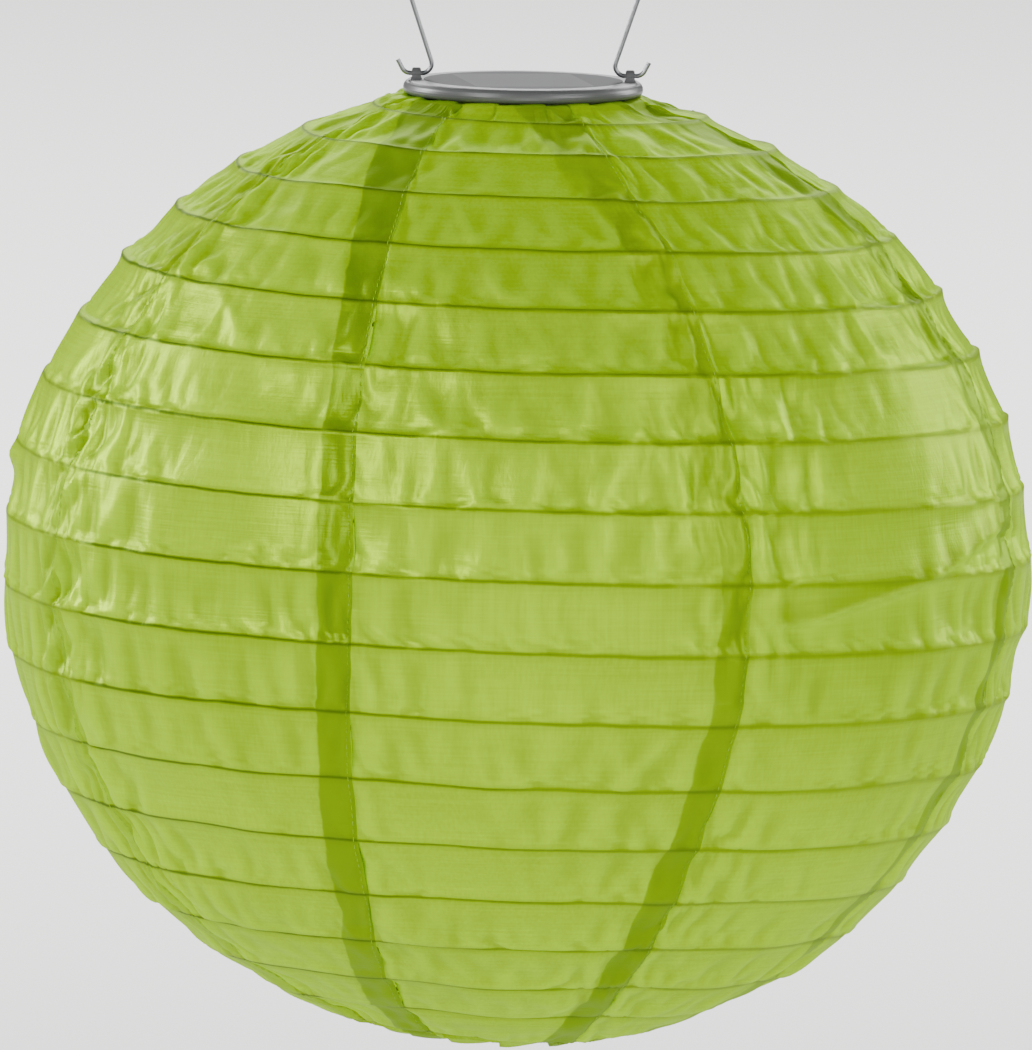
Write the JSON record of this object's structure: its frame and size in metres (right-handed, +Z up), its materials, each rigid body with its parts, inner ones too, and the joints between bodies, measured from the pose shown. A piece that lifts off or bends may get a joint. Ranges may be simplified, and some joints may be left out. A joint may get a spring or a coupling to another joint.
{
  "type": "solar lantern",
  "caption": "Hanging solar lantern: a translucent lime-green fabric globe on a spiral wire rib, under a round grey solar cap with a wire bail.",
  "frame": {"origin": "the point inside the top of the bail where a hook bears", "axes": "+Z up, +X through the two bail lugs, -Y towards the front"},
  "size_m": [0.305, 0.305, 0.382],
  "materials": {
    "bail_wire": "bright drawn wire",
    "cap_plastic": "satin silver grey, moulded",
    "window_plastic": "frosted clear resin, satin",
    "seal_rubber": "matt black foam",
    "cell": "dark blue grey with printed grid lines",
    "cell_back": "matt off-white laminate",
    "housing_plastic": "satin grey, moulded",
    "screw_steel": "zinc plated",
    "pad_rubber": "matt black",
    "board": "green solder mask",
    "chip": "matt black epoxy",
    "ferrite": "dark grey ferrite",
    "capacitor_can": "sleeved can",
    "led_epoxy": "clear warm epoxy",
    "lens_plastic": "frosted white diffuser",
    "switch_plastic": "matt black",
    "knob_plastic": "satin white",
    "battery_can": "green sleeve over a metal can",
    "spring_steel": "nickel plated wire",
    "contact_metal": "plated spring strip",
    "door_plastic": "satin grey, moulded",
    "red_lead": "red insulation",
    "black_lead": "black insulation",
    "ring_steel": "plated wire",
    "nylon": "translucent satin lime green nylon",
    "nylon_hem": "rolled lime green nylon hem",
    "nylon_seam": "doubled lime green nylon",
    "rib_wire": "coated spring wire",
    "rod_steel": "bright spring wire"
  },
  "bodies": {
    "bail": {"bail_handle": "bail_wire"},
    "module": {"cap_shell": "cap_plastic", "panel_window": "window_plastic", "panel_seal": "seal_rubber", "solar_cell": "cell", "cell_backing": "cell_back", "module_housing": "housing_plastic", "housing_seal": "seal_rubber", "housing_screws": "screw_steel", "grip_pads": "pad_rubber", "circuit_board": "board", "control_chip": "chip", "inductor": "ferrite", "capacitors": "capacitor_can", "led": "led_epoxy", "led_lens": "lens_plastic", "switch_body": "switch_plastic", "battery": "battery_can", "battery_spring": "spring_steel", "battery_contact": "contact_metal", "door_pin": "screw_steel", "cell_leads": "red_lead", "battery_leads": "black_lead"},
    "switch": {"switch_knob": "knob_plastic"},
    "door": {"battery_door": "door_plastic"},
    "shade": {"top_ring": "ring_steel", "top_hem": "nylon_hem", "spiral_rib": "rib_wire", "gore_1": "nylon", "gore_2": "nylon", "gore_3": "nylon", "gore_4": "nylon", "gore_5": "nylon", "gore_6": "nylon", "gore_7": "nylon", "gore_8": "nylon", "seam_tapes": "nylon_seam", "expander_rods": "rod_steel"},
    "shade_foot": {"bottom_ring": "ring_steel", "bottom_hem": "nylon_hem"}
  },
  "joints": [
    {"name": "bail_swing", "type": "hinge", "parent": "bail", "child": "module", "pos_m": [0, 0, -0.097], "axis": [1, 0, 0], "range_deg": [-90, 90]},
    {"name": "power_switch", "type": "slide", "parent": "module", "child": "switch", "axis": [1, 0, 0], "range_m": [0, 0.0025]},
    {"name": "battery_door", "type": "hinge", "parent": "module", "child": "door", "pos_m": [0, 0.0184, -0.1184], "axis": [1, 0, 0], "range_deg": [0, 90]},
    {"name": "shade_release", "type": "slide", "parent": "module", "child": "shade", "axis": [0, 0, -1], "range_m": [0, 0.03]},
    {"name": "shade_collapse", "type": "slide", "parent": "shade", "child": "shade_foot", "axis": [0, 0, 1], "range_m": [0, 0.25], "deforming": ["spiral_rib", "gore_1", "gore_2", "gore_3", "gore_4", "gore_5", "gore_6", "gore_7", "gore_8", "seam_tapes", "expander_rods"]}
  ]
}
